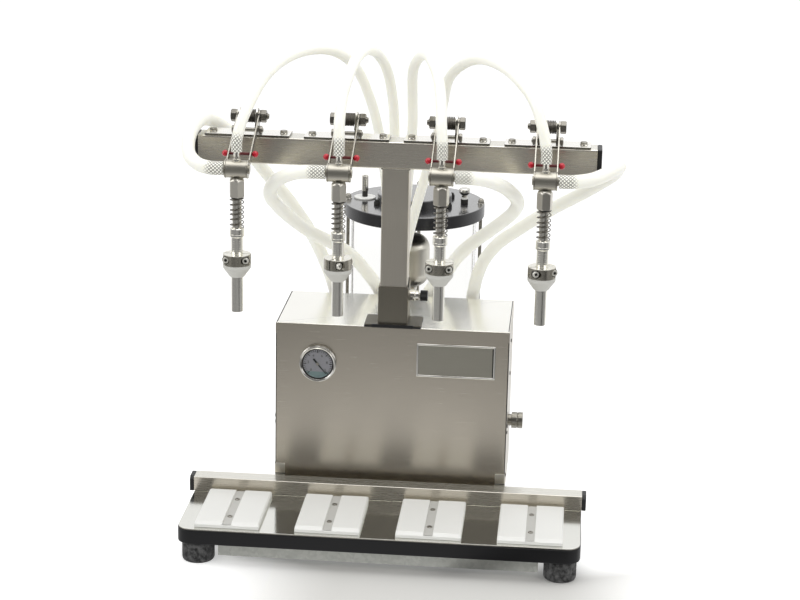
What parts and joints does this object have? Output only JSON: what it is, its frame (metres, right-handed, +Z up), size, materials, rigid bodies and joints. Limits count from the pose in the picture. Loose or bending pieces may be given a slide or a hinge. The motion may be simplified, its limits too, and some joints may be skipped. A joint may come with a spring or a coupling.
{
  "type": "vacuum filling machine",
  "caption": "Bench vacuum bottle filler: swinging spring-loaded nozzles on a clamped column, a steel housing with a gauge, an overflow vessel and hoses.",
  "frame": {"origin": "on the floor under the middle of the base board", "axes": "+Z up, -Y towards the operator and the bottle stations, +X to the operator's right"},
  "size_m": [0.6385, 0.686, 0.7217],
  "materials": {
    "black_board": "satin black",
    "bright_sheet": "bright stainless",
    "galvanised": "dull zinc",
    "cast_aluminium": "bead-blasted casting",
    "brushed": "brushed stainless",
    "polished": "polished stainless",
    "spring_steel": "drawn wire",
    "black_plastic": "black moulding",
    "lid_plastic": "machined dark grey plastic",
    "foot_rubber": "mottled grey rubber",
    "white_plastic": "machined white plastic",
    "red_plastic": "glossy red",
    "glass": "clear cylinder",
    "hose": "milky silicone",
    "dial": "pale blue-grey dial in a chrome rim"
  },
  "bodies": {
    "machine": {"base_board": "black_board", "top_sheet": "bright_sheet", "under_frame": "galvanised", "foot_1": "foot_rubber", "foot_2": "foot_rubber", "foot_3": "foot_rubber", "foot_4": "foot_rubber", "bottle_pad_1": "white_plastic", "bottle_pad_2": "white_plastic", "bottle_pad_3": "white_plastic", "bottle_pad_4": "white_plastic", "fence_bar": "brushed", "fence_cap_left": "black_plastic", "fence_cap_right": "black_plastic", "housing": "brushed", "gauge_case": "dial", "side_port": "polished", "vacuum_pump": "cast_aluminium", "column_socket": "brushed", "vessel_base": "lid_plastic", "vessel_glass": "glass", "vessel_lid": "lid_plastic", "hose_manifold": "polished", "vacuum_hose_1": "hose", "vacuum_hose_2": "hose", "vacuum_hose_3": "hose", "vacuum_hose_4": "hose", "product_hose_1": "hose", "product_hose_2": "hose", "product_hose_3": "hose", "product_hose_4": "hose"},
    "gauge_needle": {"gauge_needle": "black_plastic"},
    "clamp_knob": {"clamp_knob": "black_plastic"},
    "regulator_knob": {"regulator_knob": "polished"},
    "float": {"float": "polished"},
    "column": {"column_frame": "brushed", "head_bracket_1": "brushed", "head_bracket_2": "brushed", "head_bracket_3": "brushed", "head_bracket_4": "brushed"},
    "head_1": {"head_1": "polished", "pin_1": "red_plastic", "spring_1": "spring_steel"},
    "sleeve_1": {"sleeve_1": "brushed", "bottle_cone_1": "white_plastic"},
    "head_2": {"head_2": "polished", "pin_2": "red_plastic", "spring_2": "spring_steel"},
    "sleeve_2": {"sleeve_2": "brushed", "bottle_cone_2": "white_plastic"},
    "head_3": {"head_3": "polished", "pin_3": "red_plastic", "spring_3": "spring_steel"},
    "sleeve_3": {"sleeve_3": "brushed", "bottle_cone_3": "white_plastic"},
    "head_4": {"head_4": "polished", "pin_4": "red_plastic", "spring_4": "spring_steel"},
    "sleeve_4": {"sleeve_4": "brushed", "bottle_cone_4": "white_plastic"}
  },
  "joints": [
    {"name": "column_slide", "type": "slide", "parent": "machine", "child": "column", "axis": [0, 0, 1], "range_m": [-0.06, 0.08], "deforming": ["vacuum_hose_1", "vacuum_hose_2", "vacuum_hose_3", "vacuum_hose_4", "product_hose_1", "product_hose_2", "product_hose_3", "product_hose_4"]},
    {"name": "clamp_knob_turn", "type": "hinge", "parent": "machine", "child": "clamp_knob", "pos_m": [0.042, -0.126, 0.3582], "axis": [1, 0, 0], "range_deg": [0, 540]},
    {"name": "gauge_needle_turn", "type": "hinge", "parent": "machine", "child": "gauge_needle", "pos_m": [-0.112, -0.1568, 0.2519], "axis": [0, -1, 0], "range_deg": [0, 270], "stiffness_Nm_per_rad": 0.0005},
    {"name": "regulator_knob_turn", "type": "hinge", "parent": "machine", "child": "regulator_knob", "pos_m": [0.082, 0.226, 0.42], "axis": [0, 0, 1], "range_deg": [0, 270]},
    {"name": "float_rise", "type": "slide", "parent": "machine", "child": "float", "axis": [0, 0, 1], "range_m": [0, 0.018]},
    {"name": "head_1_swing", "type": "hinge", "parent": "column", "child": "head_1", "pos_m": [-0.219, -0.126, 0.6206], "axis": [-1, 0, 0], "range_deg": [0, 60], "stiffness_Nm_per_rad": 0.4, "springref_deg": -20.05, "deforming": ["vacuum_hose_1", "product_hose_1"]},
    {"name": "sleeve_1_slide", "type": "slide", "parent": "head_1", "child": "sleeve_1", "axis": [0, 0, 1], "range_m": [0, 0.018], "stiffness_N_per_m": 300, "springref_m": -0.015, "deforming": ["spring_1"]},
    {"name": "head_2_swing", "type": "hinge", "parent": "column", "child": "head_2", "pos_m": [-0.073, -0.126, 0.6206], "axis": [-1, 0, 0], "range_deg": [0, 60], "stiffness_Nm_per_rad": 0.4, "springref_deg": -20.05, "deforming": ["vacuum_hose_2", "product_hose_2"]},
    {"name": "sleeve_2_slide", "type": "slide", "parent": "head_2", "child": "sleeve_2", "axis": [0, 0, 1], "range_m": [0, 0.018], "stiffness_N_per_m": 300, "springref_m": -0.015, "deforming": ["spring_2"]},
    {"name": "head_3_swing", "type": "hinge", "parent": "column", "child": "head_3", "pos_m": [0.073, -0.126, 0.6206], "axis": [-1, 0, 0], "range_deg": [0, 60], "stiffness_Nm_per_rad": 0.4, "springref_deg": -20.05, "deforming": ["vacuum_hose_3", "product_hose_3"]},
    {"name": "sleeve_3_slide", "type": "slide", "parent": "head_3", "child": "sleeve_3", "axis": [0, 0, 1], "range_m": [0, 0.018], "stiffness_N_per_m": 300, "springref_m": -0.015, "deforming": ["spring_3"]},
    {"name": "head_4_swing", "type": "hinge", "parent": "column", "child": "head_4", "pos_m": [0.219, -0.126, 0.6206], "axis": [-1, 0, 0], "range_deg": [0, 60], "stiffness_Nm_per_rad": 0.4, "springref_deg": -20.05, "deforming": ["vacuum_hose_4", "product_hose_4"]},
    {"name": "sleeve_4_slide", "type": "slide", "parent": "head_4", "child": "sleeve_4", "axis": [0, 0, 1], "range_m": [0, 0.018], "stiffness_N_per_m": 300, "springref_m": -0.015, "deforming": ["spring_4"]}
  ]
}
